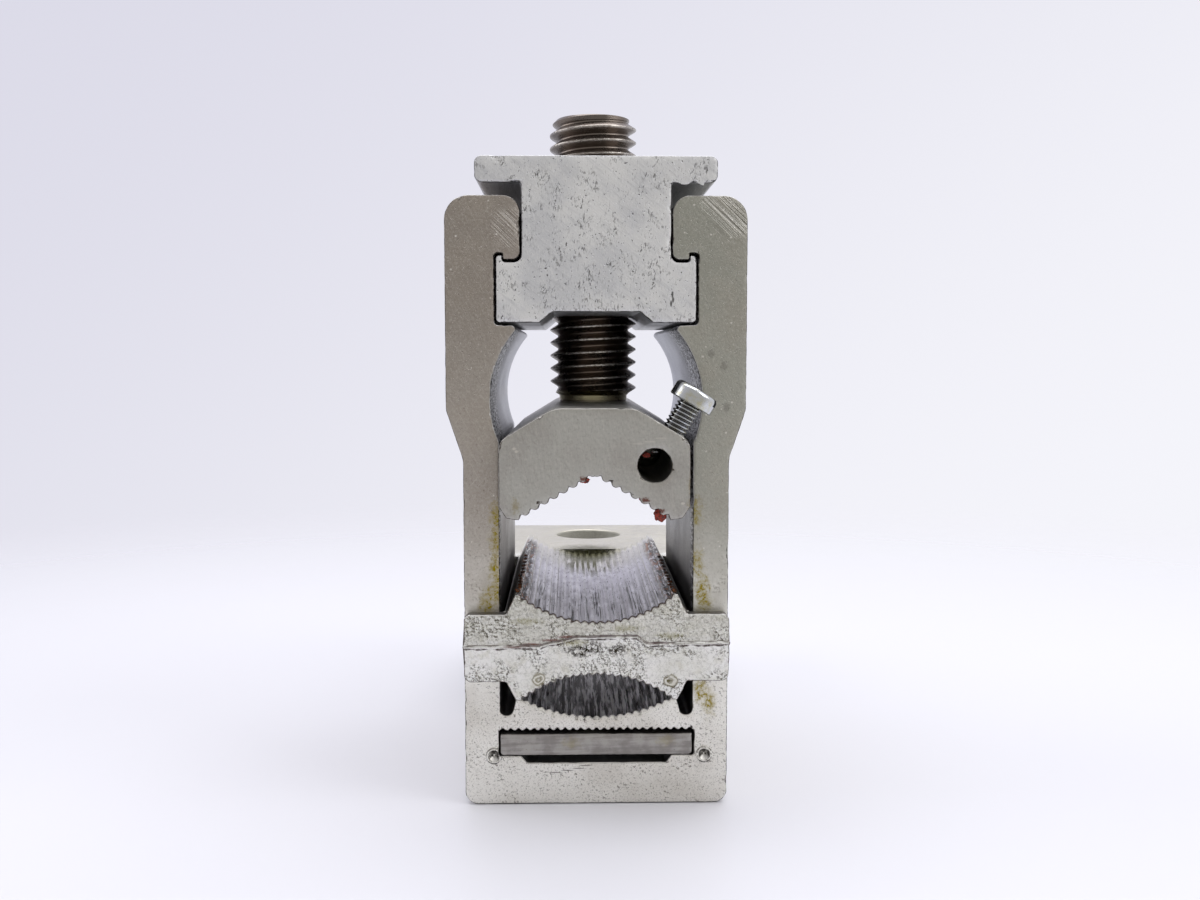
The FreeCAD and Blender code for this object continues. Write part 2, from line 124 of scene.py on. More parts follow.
# Crumbs of rust in the jaw, as (name, place, size)
rust_crumbs = [("rust_crumb_large", (7.4, -27.2, 37.0), (0.75, 0.5, 0.95)),
               ("rust_crumb_small", (5.5, -27.4, 38.75), (0.5, 0.35, 0.35)),
               ("rust_crumb_top", (-1.5, -27.5, 41.0), (0.6, 0.3, 0.28)),
               ("rust_crumb_hole", (5.75, -26.4, 43.9), (0.42, 0.7, 0.32))]

# Main thread, M12 with a pitch of 1.75
main_crest = 5.9
main_pitch = 1.75
main_depth = 1.07
main_low = 50.2
main_low_radius = 4.65
main_low_slope = 1.7
main_high = 87.5
main_high_chamfer = 0.95
main_crest_at_right = 51.22
spigot_profile = [(0.05, 44.4), (4.1, 44.4), (4.6, 44.9), (4.6, 45.65), (4.0, 45.65), (4.0, 46.95),
                  (4.6, 46.95)]
socket_flats = 6.0
socket_depth = 6.0
socket_chamfer = 0.45

# Auxiliary screw, M3 with a pitch of 0.5
aux_crest = 1.5
aux_pitch = 0.5
aux_depth = 0.3
aux_foot = (7.05, -24.65, 42.75)
aux_lean_deg = 31.4
jaw_turn_deg = -0.7
aux_tip = 2.1
aux_under_head = 8.27
aux_head_height = 2.0
aux_head_radius = 2.75
aux_head_rounding = [(0.0, 0.5), (0.08, 0.3), (0.25, 0.1), (0.5, 0.0)]
aux_slot_width = 0.8
aux_slot_length = 8.0
aux_slot_depth = 0.9
aux_slot_turn_deg = 65.0
aux_place = (Matrix.Rotation(math.radians(jaw_turn_deg), 4, "Z")
             @ Matrix.Translation(Vector(aux_foot) * MM)
             @ Matrix.Rotation(math.radians(aux_lean_deg), 4, "Y"))

# Thread profile over one pitch, as (place, share of the depth), starting on a crest
thread_profile = [(0.0, 0.0), (0.05, 0.02), (0.085, 0.08), (0.4, 0.9), (0.45, 0.985),
                  (0.5, 1.0), (0.55, 0.985), (0.6, 0.9), (0.915, 0.08), (0.95, 0.02)]


def srgb(red, green, blue):
    """Linear colour from an 8-bit screen colour."""
    def linear(value):
        value = value / 255
        return value / 12.92 if value <= 0.04045 else ((value + 0.055) / 1.055) ** 2.4
    return (linear(red), linear(green), linear(blue), 1.0)


class Nodes:
    """A node tree, made by short calls. A colour of three numbers is an 8-bit screen colour."""

    def __init__(self, tree):
        self.tree = tree
        self.tree.nodes.clear()

    def add(self, kind, **settings):
        node = self.tree.nodes.new("ShaderNode" + kind)
        for key, value in settings.items():
            setattr(node, key, value)
        return node

    def feed(self, node, values):
        """Gives a node's inputs, by name or number, their values or source sockets."""
        for key, value in values.items():
            if isinstance(value, bpy.types.NodeSocket):
                self.tree.links.new(value, node.inputs[key])
            else:
                node.inputs[key].default_value = value
        return node

    def math(self, operation, a, b=0.0, clamp=False):
        node = self.add("Math", operation=operation, use_clamp=clamp)
        return self.feed(node, {0: a, 1: b}).outputs[0]

    def vector(self, operation, a, b=(0.0, 0.0, 0.0), output="Vector"):
        node = self.add("VectorMath", operation=operation)
        return self.feed(node, {0: a, 1: b}).outputs[output]

    def length(self, vector):
        return self.vector("LENGTH", vector, output="Value")

    def parts(self, vector):
        return self.feed(self.add("SeparateXYZ"), {0: vector}).outputs[:3]

    def scaled(self, value, low, high, to_low=0.0, to_high=1.0):
        """Smooth step of a value between two limits."""
        node = self.add("MapRange", interpolation_type="SMOOTHSTEP")
        return self.feed(node, {0: value, 1: low, 2: high, 3: to_low, 4: to_high}).outputs[0]

    def blend(self, factor, a, b):
        """Colour between a and b."""
        a, b = (srgb(*c) if isinstance(c, tuple) and len(c) == 3 else c for c in (a, b))
        return self.feed(self.add("Mix", data_type="RGBA"), {0: factor, 6: a, 7: b}).outputs[2]


class Surface(Nodes):
    """A material, whose colour is laid on coat by coat. Lengths in it are millimetres."""

    def __init__(self, name, front=0.0, metallic=1.0):
        self.material = bpy.data.materials.new(name)
        self.material.use_nodes = True
        super().__init__(self.material.node_tree)
        self.shader = self.feed(self.add("BsdfPrincipled"), {"Metallic": metallic})
        self.feed(self.add("OutputMaterial"), {"Surface": self.shader.outputs["BSDF"]})
        coordinates = self.add("TexCoord")
        self.place = self.vector("MULTIPLY", coordinates.outputs["Object"], (1 / MM, 1 / MM, 1 / MM))
        self.normal = coordinates.outputs["Normal"]
        self.front = front
        self.colour = None

    def times(self, *values):
        total = values[0]
        for value in values[1:]:
            total = self.math("MULTIPLY", total, value)
        return total

    def plus(self, *values):
        total = values[0]
        for value in values[1:]:
            total = self.math("ADD", total, value)
        return total

    def most(self, a, b):
        return self.math("MAXIMUM", a, b)

    def size(self, value):
        return self.math("ABSOLUTE", value)

    def inverse(self, mask):
        return self.math("SUBTRACT", 1.0, mask)

    def spread(self, size, turn_deg=0.0, shift=0.0):
        """The place, turned about the Y axis and then divided by a feature's size along each axis."""
        turn = self.add("VectorRotate", rotation_type="EULER_XYZ")
        self.feed(turn, {"Vector": self.place, "Rotation": (0.0, math.radians(turn_deg), 0.0)})
        sizes = size if isinstance(size, tuple) else (size, size, size)
        divided = self.vector("DIVIDE", turn.outputs[0], sizes)
        return self.vector("ADD", divided, (shift, shift * 0.7, shift * 1.3))

    def noise(self, size, turn_deg=0.0, shift=0.0, detail=3.0, rough=0.55):
        place = self.spread(size, turn_deg, shift)
        values = {"Vector": place, "Scale": 1.0, "Detail": detail, "Roughness": rough}
        return self.feed(self.add("TexNoise"), values).outputs["Fac"]

    def cells(self, size, shift=0.0):
        """Distance to the nearest of many scattered points."""
        node = self.add("TexVoronoi", feature="F1")
        return self.feed(node, {"Vector": self.spread(size, shift=shift), "Scale": 1.0}).outputs["Distance"]

    def facing(self, axis):
        """1 where the surface looks along an axis, either way."""
        return self.scaled(self.size(self.parts(self.normal)[axis]), 0.7, 0.9)

    def broken_edge(self):
        """1 on the small faces that break the edges of an end, less where they look up into the light."""
        _, along, up = self.parts(self.normal)
        along = self.size(along)
        slanted = self.times(self.scaled(along, 0.96, 0.92), self.scaled(along, 0.12, 0.25))
        return self.times(slanted, self.scaled(up, 0.2, 0.6, 1.0, 0.35))

    def lit_edge(self):
        """1 on the small faces that break the edges of an end where they look up into the light."""
        _, along, up = self.parts(self.normal)
        along = self.size(along)
        slanted = self.times(self.scaled(along, 0.96, 0.9), self.scaled(along, 0.3, 0.45))
        return self.times(slanted, self.scaled(up, 0.3, 0.6))

    def paint(self, factor, strength, colour):
        """Lays a colour over what is there, as strongly as factor and strength say."""
        self.colour = self.blend(self.math("MULTIPLY", factor, strength, clamp=True), self.colour, colour)

    def spot(self, centre, radii, wobble=0.35, core=0.45):
        """A soft patch, 1 at its centre and 0 outside its radii. An (x, z) centre lies on the front."""
        if len(centre) == 2:
            centre = (centre[0], self.front, centre[1])
        away = self.length(self.vector("DIVIDE", self.vector("SUBTRACT", self.place, centre), radii))
        ragged = self.noise(min(radii) * 0.55, detail=4.0, rough=0.7)
        distance = self.plus(away, self.times(self.math("SUBTRACT", ragged, 0.5), 2.5 * wobble))
        return self.inverse(self.scaled(distance, core, 1.0))

    def spots(self, places, radii, **how):
        total = 0.0
        for centre in places:
            total = self.math("ADD", total, self.spot(centre, radii, **how), clamp=True)
        return total

    def edges(self, radius, low=0.02, high=0.2):
        """1 along edges, from how far a rounded normal turns away."""
        rounded = self.feed(self.add("Bevel", samples=6), {"Radius": radius * MM})
        plain = self.add("NewGeometry")
        alike = self.vector("DOT_PRODUCT", rounded.outputs[0], plain.outputs["Normal"], "Value")
        return self.scaled(self.inverse(alike), low, high)

    def scratches(self, turn_deg, width, length, low, high, shift=0.0):
        """Sparse thin straight lines in the X-Z plane, at an angle from upright."""
        lines = self.noise((width, 60.0, length), turn_deg, shift, detail=1.0)
        return self.scaled(lines, low, high)

    def contour(self, field, level, thickness):
        """Thin lines where a noise field passes through a level."""
        return self.scaled(self.size(self.math("SUBTRACT", field, level)), thickness, thickness * 0.3)

    def embossed(self, size, shift, step=0.3):
        """How steeply a noise field rises towards the upper right. Painted light where it rises and dark
        where it falls, it gives painted highlights and painted shade on a grain, as if lit from the upper
        right.
        """
        ahead = self.noise(size, shift=shift + step, detail=3.0, rough=0.65)
        here = self.noise(size, shift=shift, detail=3.0, rough=0.65)
        return self.math("SUBTRACT", ahead, here)

    def sparse_dots(self, spacing, radius, share, shift=0.0):
        """Small round dots at scattered points, left out where a broad noise field is low."""
        near = self.scaled(self.cells(spacing, shift), radius / spacing, 0.6 * radius / spacing)
        kept = self.scaled(self.noise(spacing * 1.7, shift=shift + 5.0), 1.0 - share, 1.04 - share)
        return self.times(near, kept)

    def dirt_and_shade_on_edges(self, size, shift, least, colour):
        """Dirt and painted shade on the broken edges, more in some places than in others, and weaker where
        the edges look up into the light.
        """
        ragged = self.scaled(self.noise(size, shift=shift, detail=4.0, rough=0.75), 0.36, 0.56, least, 1.0)
        self.paint(self.times(self.broken_edge(), ragged), 0.95, colour)

    def finish(self, roughness, relief, depth):
        """The material, with a relief that is depth deep."""
        bump = self.feed(self.add("Bump"), {"Strength": 1.0, "Distance": depth * MM, "Height": relief})
        values = {"Base Color": self.colour, "Roughness": roughness, "Normal": bump.outputs[0]}
        self.feed(self.shader, values)
        return self.material


def frame_aluminium():
    """Sawn ends and drawn sides, grey brown, finely speckled, with yellow stains near the bar."""
    g = Surface("frame_aluminium", front_y)
    x, y, z = g.parts(g.place)
    end = g.facing(1)
    side = g.inverse(end)
    cloud = g.noise(9.0, detail=5.0)
    grain = g.noise(0.17, detail=2.0)
    coarse = g.noise(0.3, shift=3.0, detail=3.0, rough=0.7)
    drawn = g.noise((0.25, 45.0, 0.35), detail=3.0)
    lifted = g.plus(z, g.times(cloud, 12.0))
    low_part = g.scaled(lifted, 46.0, 22.0)
    right_side = g.scaled(x, -4.0, 4.0)
    g.colour = g.blend(right_side, (155, 147, 139), (161, 161, 152))
    lower_tone = g.blend(right_side, (170, 163, 155), (169, 169, 160))
    g.paint(g.scaled(lifted, 70.0, 52.0), 1.0, lower_tone)
    g.colour = g.blend(low_part, g.colour, (234, 232, 225))
    g.paint(g.scaled(cloud, 0.42, 0.66), 0.3, (167, 158, 145))
    g.paint(g.scaled(coarse, 0.54, 0.66), 0.3, (205, 201, 192))
    specks = g.scaled(coarse, 0.4, 0.32)
    g.paint(specks, 0.35, (94, 87, 76))
    # Painted shade and painted highlights on the grain of the sawn end, as if lit from the upper right,
    # strongest in rough patches low down.
    steep = g.embossed(0.42, 21.0)
    rough_patch = g.scaled(g.noise(2.6, shift=17.0, detail=2.0), 0.48, 0.62)
    sand_shading = g.times(end, g.plus(g.times(low_part, rough_patch, 0.7), 0.12))
    g.paint(g.times(sand_shading, g.scaled(steep, -0.09, -0.16)), 0.8, (83, 76, 63))
    g.paint(g.times(sand_shading, g.scaled(steep, 0.06, 0.14)), 0.8, (228, 226, 221))
    dots = g.times(end, g.sparse_dots(1.3, 0.16, 0.5, 4.0))
    g.paint(dots, 0.75, (223, 220, 214))
    right_lean = g.scratches(28.0, 0.07, 4.0, 0.66, 0.7)
    left_lean = g.scratches(-40.0, 0.07, 3.5, 0.68, 0.72, 4.0)
    g.paint(g.times(g.most(right_lean, left_lean), end), 0.3, (210, 206, 197))
    filed_left = g.times(g.spot((-10.5, 70.9), (2.6, 6.0, 3.2), wobble=0.2), 0.5)
    filed_right = g.spots([(16.8, 72.3), (15.3, 73.8)], (3.2, 6.0, 3.0), wobble=0.2)
    filed = g.math("ADD", filed_right, filed_left, clamp=True)
    combed = g.noise((0.26, 60.0, 24.0), 46.0, 9.0, detail=1.0)
    file_marks = g.times(g.contour(combed, 0.5, 0.045), filed, end)
    g.paint(file_marks, 0.8, (217, 214, 207))
    g.paint(g.times(g.contour(combed, 0.58, 0.04), filed, end), 0.55, (76, 71, 62))
    yellow_at = [(-12.1, 36.2), (-12.2, 33.0), (-12.3, 29.4), (-12.3, 26.4), (-13.6, 24.9), (13.0, 27.2),
                 (13.3, 25.2), (12.2, 30.5), (12.0, 36.5), (12.9, 14.4), (13.9, 12.8)]
    yellow = g.spots(yellow_at, (1.3, 4.0, 2.6), wobble=0.7, core=0.0)
    patchy = g.scaled(g.noise(0.4, shift=1.0, detail=4.0, rough=0.75), 0.42, 0.58)
    soot = g.spots([(-13.0, 25.2), (-13.4, 27.4), (13.8, 25.2)], (2.6, 3.0, 2.6), wobble=0.5, core=0.0)
    g.paint(g.times(soot, end), 0.2, (110, 100, 69))
    stain = g.times(yellow, g.plus(g.times(patchy, 0.6), 0.4))
    g.paint(stain, 1.0, (143, 127, 24))
    smudge = g.spots([(13.9, 55.8), (15.5, 54.3), (15.9, 49.3)], (0.55, 2.0, 0.7), wobble=0.6)
    g.paint(smudge, 0.3, (87, 83, 78))
    inner = g.times(side, g.scaled(g.size(x), 13.2, 12.8))
    # Painted shade on the inner walls below the jaw: darker towards the bottom, and darker on the right
    # beside the bar.
    shaded_lower_wall = g.times(inner, g.scaled(z, 38.0, 36.0))
    g.paint(g.times(shaded_lower_wall, g.scaled(z, 36.0, 26.0)), 0.75, (76, 74, 76))
    g.paint(g.times(shaded_lower_wall, g.scaled(x, 5.0, 9.0)), 0.35, (63, 62, 63))
    relief_wall = g.times(inner, g.scaled(z, 36.6, 37.6), g.scaled(z, 60.0, 59.0))
    g.paint(relief_wall, 0.7, (172, 176, 188))
    mouth = g.times(inner, g.most(g.times(g.scaled(y, -4.0, -13.0), g.scaled(z, 36.6, 37.6)),
                                  g.times(g.scaled(y, -17.0, -20.0), g.scaled(z, 22.0, 26.0))))
    # Painted shade and painted highlights on the drawn grain of the inner walls at the mouth: dark and
    # light specks.
    sand = g.noise((0.3, 1.5, 0.3), shift=8.0, detail=2.0, rough=0.6)
    g.paint(g.times(mouth, g.scaled(sand, 0.5, 0.44)), 0.9, (46, 43, 40))
    g.paint(g.times(mouth, g.scaled(sand, 0.53, 0.59)), 0.8, (228, 228, 230))
    lower_groove = g.times(side, g.scaled(g.size(x), 9.2, 8.8), g.scaled(z, 10.0, 10.6),
                           g.scaled(z, 17.2, 16.6))
    g.paint(lower_groove, 0.9, (214, 210, 217))
    # Streaks along the teeth in the base's groove: bumps, with painted shade between them and painted
    # highlights on their crests.
    streaks_and_glints = g.noise((0.3, 7.0, 40.0), shift=14.0, detail=3.0, rough=0.65)
    g.paint(g.times(lower_groove, g.scaled(streaks_and_glints, 0.53, 0.48)), 0.9, (48, 41, 45))
    g.paint(g.times(lower_groove, g.scaled(streaks_and_glints, 0.56, 0.6)), 0.95, (238, 238, 238))
    g.paint(g.edges(0.3), 0.4, (214, 211, 205))
    # Dirt and painted shade on the broken edges.
    g.dirt_and_shade_on_edges((0.5, 0.5, 0.9), 6.0, 0.25, (40, 35, 29))
    # Painted highlight on the broken edges beside the inner relief walls.
    relief_rim = g.times(g.broken_edge(), g.scaled(g.size(x), 14.0, 13.6), g.scaled(z, 36.6, 38.0),
                         g.scaled(z, 60.0, 59.0))
    g.paint(relief_rim, 0.8, (206, 205, 203))
    g.paint(g.lit_edge(), 0.75, (226, 224, 219))
    dusty = g.scaled(g.noise(0.24, shift=5.5, detail=3.0, rough=0.8), 0.56, 0.64)
    base_dirt = g.times(end, g.scaled(z, 14.0, 12.0), dusty)
    g.paint(base_dirt, 0.6, (87, 78, 60))
    hair = g.spots([(-5.2, 3.95), (-3.6, 4.2), (-2.2, 4.45), (-1.4, 4.8)], (1.0, 2.0, 0.09), wobble=0.05)
    g.paint(hair, 0.7, (72, 65, 54))
    roughness = g.scaled(cloud, 0.3, 0.7, 0.36, 0.48)
    side_relief = g.times(side, g.plus(grain, drawn))
    relief = g.plus(side_relief, g.times(end, g.plus(g.times(grain, 0.5), coarse)))
    relief = g.math("SUBTRACT", relief, g.plus(g.times(file_marks, 1.5), specks))
    relief = g.plus(relief, g.times(mouth, sand, 2.0))
    relief = g.plus(relief, g.times(lower_groove, streaks_and_glints, 3.0))
    return g.finish(roughness, relief, 0.035)


def bridge_aluminium():
    """Light grey sawn ends with small dark torn marks, and drawn sides."""
    g = Surface("bridge_aluminium", front_y)
    end = g.facing(1)
    side = g.inverse(end)
    cloud = g.noise(6.0, detail=4.0)
    grain = g.noise(0.16, detail=2.0)
    drawn = g.noise((0.3, 45.0, 0.3), detail=3.0)
    g.colour = g.blend(g.scaled(cloud, 0.35, 0.65), (214, 215, 218), (225, 225, 224))
    swirl = g.noise((0.35, 30.0, 3.0), 50.0, shift=2.0, detail=3.0)
    g.paint(g.times(end, g.scaled(swirl, 0.5, 0.72)), 0.35, (181, 182, 186))
    g.paint(side, 0.6, (168, 169, 172))
    groups = g.scaled(g.noise(2.8, shift=11.0, detail=2.0), 0.5, 0.62)
    torn = g.scaled(g.noise((0.2, 3.0, 0.8), -14.0, detail=2.0, rough=0.6), 0.41, 0.35)
    dots = g.scaled(g.noise((0.34, 3.0, 0.38), shift=5.0, detail=2.0, rough=0.6), 0.34, 0.29)
    marks = g.times(end, g.most(g.times(torn, g.plus(g.times(groups, 0.8), 0.2)), dots))
    g.paint(marks, 0.85, (56, 53, 51))
    # Painted shade and painted highlights on the grain of the sawn end, as if lit from the upper right; the
    # shade only in the groups of torn marks.
    steep = g.embossed((0.3, 3.0, 0.6), 41.0)
    g.paint(g.times(end, groups, g.scaled(steep, -0.06, -0.14)), 0.6, (109, 107, 105))
    g.paint(g.times(end, g.scaled(steep, 0.07, 0.15)), 0.5, (231, 231, 231))
    picked = g.spots([(-10.3, 76.5), (-6.2, 63.5), (6.7, 64.2), (2.0, 66.5)],
                     (1.0, 2.0, 0.9), wobble=0.8, core=0.1)
    pecks = g.scaled(g.noise((0.22, 3.0, 0.45), -30.0, 7.0, detail=3.0, rough=0.7), 0.49, 0.42)
    g.paint(g.times(picked, pecks, end), 0.9, (54, 52, 49))
    hook = g.spots([(9.2, 62.95), (9.28, 62.3), (9.05, 61.85)], (0.17, 2.0, 0.48), wobble=0.1)
    g.paint(hook, 0.85, (52, 51, 49))
    g.paint(g.edges(0.28), 0.35, (223, 223, 223))
    # Dirt and painted shade on the broken edges.
    g.dirt_and_shade_on_edges((0.9, 0.5, 0.5), 2.0, 0.25, (47, 44, 42))
    g.paint(g.lit_edge(), 0.6, (228, 228, 228))
    roughness = g.scaled(cloud, 0.3, 0.7, 0.42, 0.55)
    relief = g.plus(g.times(grain, 0.5), g.times(drawn, side))
    relief = g.plus(relief, g.times(swirl, end, 0.6))
    relief = g.math("SUBTRACT", relief, marks)
    return g.finish(roughness, relief, 0.035)


def jaw_aluminium():
    """Satin grey ends with faint brushing, red brown dirt in the teeth and in the wire hole."""
    g = Surface("jaw_aluminium", jaw_front_y)
    z = g.parts(g.place)[2]
    end = g.facing(1)
    side = g.inverse(end)
    cloud = g.noise(7.0, shift=5.0, detail=4.0)
    grain = g.noise(0.2, detail=2.0)
    coarse = g.noise(0.42, shift=2.0, detail=4.0, rough=0.75)
    drawn = g.noise((0.25, 45.0, 0.25), detail=3.0)
    brushed = g.noise((0.12, 30.0, 5.0), 7.0, detail=2.0)
    g.colour = g.blend(g.scaled(cloud, 0.35, 0.65), (167, 164, 159), (177, 176, 170))
    g.paint(g.times(end, g.scaled(brushed, 0.45, 0.72)), 0.16, (201, 197, 188))
    # Faint painted shade and painted highlights on the grain of the sawn end, as if lit from the upper
    # right.
    steep = g.embossed((0.3, 3.0, 0.5), 51.0)
    g.paint(g.times(end, g.scaled(steep, -0.06, -0.14)), 0.16, (109, 103, 94))
    g.paint(g.times(end, g.scaled(steep, 0.06, 0.14)), 0.18, (210, 207, 199))
    g.paint(g.scaled(coarse, 0.6, 0.72), 0.3, (199, 196, 188))
    g.paint(g.scaled(coarse, 0.36, 0.28), 0.45, (90, 85, 76))
    arc = g.times(g.spots([(4.8, 45.3), (6.1, 45.55), (7.4, 45.95)], (1.0, 2.0, 0.12), wobble=0.1), end)
    nick = g.spots([(-9.73, 44.72), (-9.45, 44.4), (10.0, 38.3)], (0.3, 2.0, 0.2))
    g.paint(g.most(g.times(arc, 0.5), nick), 0.6, (214, 210, 201))
    dirty = g.spots([(7.4, -27.4, 37.4), (5.6, -27.4, 38.7), (-1.5, -27.4, 41.2)], (0.7, 1.6, 0.4),
                    wobble=0.9)
    g.paint(dirty, 0.85, (94, 40, 25))
    yellow = g.spots([(11.0, -27.6, 40.5), (-9.6, -27.4, 38.0), (11.0, -27.4, 38.0)], (0.7, 2.5, 1.4),
                     wobble=0.9, core=0.0)
    g.paint(yellow, 0.5, (132, 116, 56))
    g.paint(g.edges(0.28), 0.45, (221, 218, 212))
    # Dirt and painted shade on the broken edges.
    g.dirt_and_shade_on_edges(0.6, 2.0, 0.3, (51, 42, 34))
    g.paint(g.times(g.lit_edge(), g.scaled(z, 43.0, 44.0)), 0.7, (226, 224, 219))
    roughness = g.scaled(cloud, 0.3, 0.7, 0.38, 0.48)
    relief = g.times(side, g.plus(grain, drawn))
    relief = g.plus(relief, g.times(end, g.plus(g.times(brushed, 0.3), coarse)))
    return g.finish(roughness, relief, 0.03)


def tinned_casting():
    """Pale cast and tinned surface, sandy and pitted, with brown dirt along the parting line and ridges."""
    g = Surface("tinned_casting", bar_front_y)
    x, y, z = g.parts(g.place)
    up = g.scaled(g.parts(g.normal)[2], 0.35, 0.6)
    hollow = g.times(up, g.scaled(g.size(x), 9.5, 9.2), g.scaled(y, 27.0, 24.0))
    end = g.facing(1)
    cloud = g.noise(5.0, shift=2.0, detail=4.0)
    sand = g.noise(0.3, detail=3.0, rough=0.7)
    waves = g.noise(1.6, shift=4.0, detail=3.0)
    above = g.add("Attribute", attribute_name="above_parting").outputs["Fac"]
    upper = g.times(end, g.scaled(above, -0.05, 0.1))
    g.colour = g.blend(g.scaled(cloud, 0.35, 0.65), (226, 225, 218), (238, 237, 233))
    g.paint(g.scaled(waves, 0.52, 0.7), 0.35, (197, 194, 174))
    # Painted shade: the sloped face above the parting line is darker.
    g.paint(upper, 0.4, (185, 183, 172))
    blotch = g.scaled(g.noise(2.8, shift=8.0), 0.44, 0.58)
    strong = g.most(blotch, g.times(upper, 0.35))
    specks = g.times(g.scaled(sand, 0.43, 0.38), g.plus(g.times(strong, 0.85), 0.12))
    g.paint(specks, 0.65, (69, 65, 51))
    # Painted shade and painted highlights on the sandy cast skin, as if lit from the upper right, strongest
    # in blotches and above the parting line.
    steep = g.embossed(0.38, 31.0)
    shown = g.times(end, g.plus(g.times(strong, 0.9), 0.12))
    g.paint(g.times(shown, g.scaled(steep, -0.07, -0.12)), 0.75, (66, 62, 48))
    g.paint(g.times(shown, g.scaled(steep, 0.05, 0.09)), 0.9, (231, 231, 228))
    # Along the parting line: a dark brown line in the crease above the ridge, dirt with painted shade, and
    # a painted highlight on the ridge.
    ragged_line = g.plus(above, g.times(g.math("SUBTRACT", g.noise(0.5, shift=3.0), 0.5), 0.25))
    crease = g.times(g.scaled(ragged_line, 0.12, 0.2), g.scaled(ragged_line, 0.36, 0.26))
    g.paint(g.times(crease, end), 0.7, (76, 67, 52))
    crest = g.times(g.scaled(ragged_line, -0.2, -0.08), g.scaled(ragged_line, 0.16, 0.06))
    g.paint(g.times(crest, end), 0.8, (226, 225, 221))
    worms = g.contour(g.noise(0.9, shift=15.0, detail=3.0, rough=0.6), 0.5, 0.035)
    worms = g.times(worms, end, g.plus(g.times(blotch, 0.6), 0.25))
    g.paint(worms, 0.7, (83, 78, 56))
    for mark_x, mark_z in pin_marks:
        away = g.length(g.vector("SUBTRACT", g.place, (mark_x, bar_front_y, mark_z)))
        away = g.plus(away, g.times(g.noise(0.7, shift=2.5), 0.7))
        from_ring = g.size(g.math("SUBTRACT", away, pin_mark_radius + 0.35))
        # A brownish band round each pin's raised ring, and a painted highlight on the ring.
        g.paint(g.times(end, g.scaled(from_ring, 0.38, 0.2)), 0.6, (110, 100, 51))
        g.paint(g.times(end, g.scaled(from_ring, 0.13, 0.04)), 0.9, (228, 226, 217))
    palm_top = g.times(up, g.scaled(y, 22.0, 28.0))
    g.paint(palm_top, 0.8, (194, 190, 176))
    g.paint(hollow, 0.95, (240, 238, 245))
    far = g.plus(y, g.times(waves, 6.0))
    g.paint(g.times(hollow, g.scaled(far, 8.0, 22.0)), 0.65, (172, 169, 158))
    dots = g.scaled(g.noise((0.16, 1.6, 0.5), shift=3.0, detail=3.0, rough=0.75), 0.41, 0.35)
    g.paint(g.times(hollow, dots), 0.85, (46, 40, 38))
    # Thin dark lines in the front half of the groove, broken by gaps: painted shade in the valleys of its
    # teeth.
    gaps = g.scaled(g.noise((1.2, 9.0, 40.0), shift=16.0, detail=1.0), 0.38, 0.45)
    lines = g.contour(g.noise((0.62, 60.0, 40.0), shift=6.0, rough=0.6), 0.5, 0.026)
    fading = g.scaled(g.plus(y, g.times(cloud, 24.0)), 16.0, 0.0)
    g.paint(g.times(hollow, lines, gaps, fading), 0.95, (27, 24, 24))
    pit_x, pit_z = pit_cluster
    pits_at = [pit_cluster, (pit_x + 1.8, pit_z + 0.5), (pit_x + 4.6, pit_z + 0.2)]
    cluster = g.spots(pits_at, (1.9, 3.0, 1.0), wobble=0.7, core=0.1)
    mess = g.times(cluster, g.scaled(g.noise(0.5, shift=7.0, rough=0.7), 0.44, 0.52))
    g.paint(mess, 1.0, (47, 40, 27))
    brown = g.spots([(-10.2, 20.35), (-8.0, 20.6), (-5.6, 21.1), (-3.6, 21.5)], (1.9, 2.5, 0.26),
                    wobble=0.5, core=0.2)
    g.paint(brown, 0.8, (105, 56, 47))
    from_middle = g.size(x)
    crust = g.scaled(g.noise((0.42, 2.4, 0.42), shift=12.0, detail=4.0, rough=0.8), 0.57, 0.51)
    ridge = g.times(g.scaled(from_middle, 7.9, 8.9), g.scaled(z, 24.2, 25.2), g.inverse(end),
                    g.scaled(y, 26.0, 20.0))
    g.paint(g.times(ridge, crust), 0.95, (43, 31, 20))
    orange = g.times(ridge, g.scaled(g.noise((0.9, 4.0, 0.9), shift=4.0, rough=0.7), 0.53, 0.6))
    g.paint(orange, 0.8, (152, 87, 27))
    flank = g.times(g.scaled(from_middle, 9.9, 10.3), g.inverse(end), g.scaled(z, 26.6, 25.4),
                    g.scaled(y, 24.0, 18.0))
    g.paint(flank, 0.8, (52, 43, 34))
    off_hole = g.length(g.vector("SUBTRACT", g.place, (0.0, 46.05, bar_mid_z)))
    green = g.spots([(-8.5, 23.4), (9.0, 21.6), (3.5, 22.5), (-3.0, 20.8)], (2.6, 2.0, 0.6),
                    wobble=0.9, core=0.0)
    g.paint(green, 0.5, (132, 127, 63))
    # Dark olive patch at the groove's far end wall, running down the teeth before it.
    olive_patch = g.spot((-0.4, 26.6, 23.7), (7.6, 9.0, 1.9), wobble=0.25, core=0.3)
    runs = g.scaled(g.noise((0.45, 16.0, 40.0), shift=9.0, detail=2.0), 0.46, 0.54)
    olive_runs = g.times(hollow, runs, g.spot((-0.4, 18.0, 23.0), (6.6, 13.0, 3.4), wobble=0.2, core=0.2))
    g.paint(g.most(olive_patch, olive_runs), 0.9, (76, 75, 40))
    palm_hole = g.times(g.scaled(off_hole, 7.2, 6.9), g.scaled(g.size(g.parts(g.normal)[2]), 0.8, 0.6))
    g.paint(palm_hole, 0.9, (152, 150, 139))
    g.paint(g.edges(0.3), 0.4, (224, 224, 217))
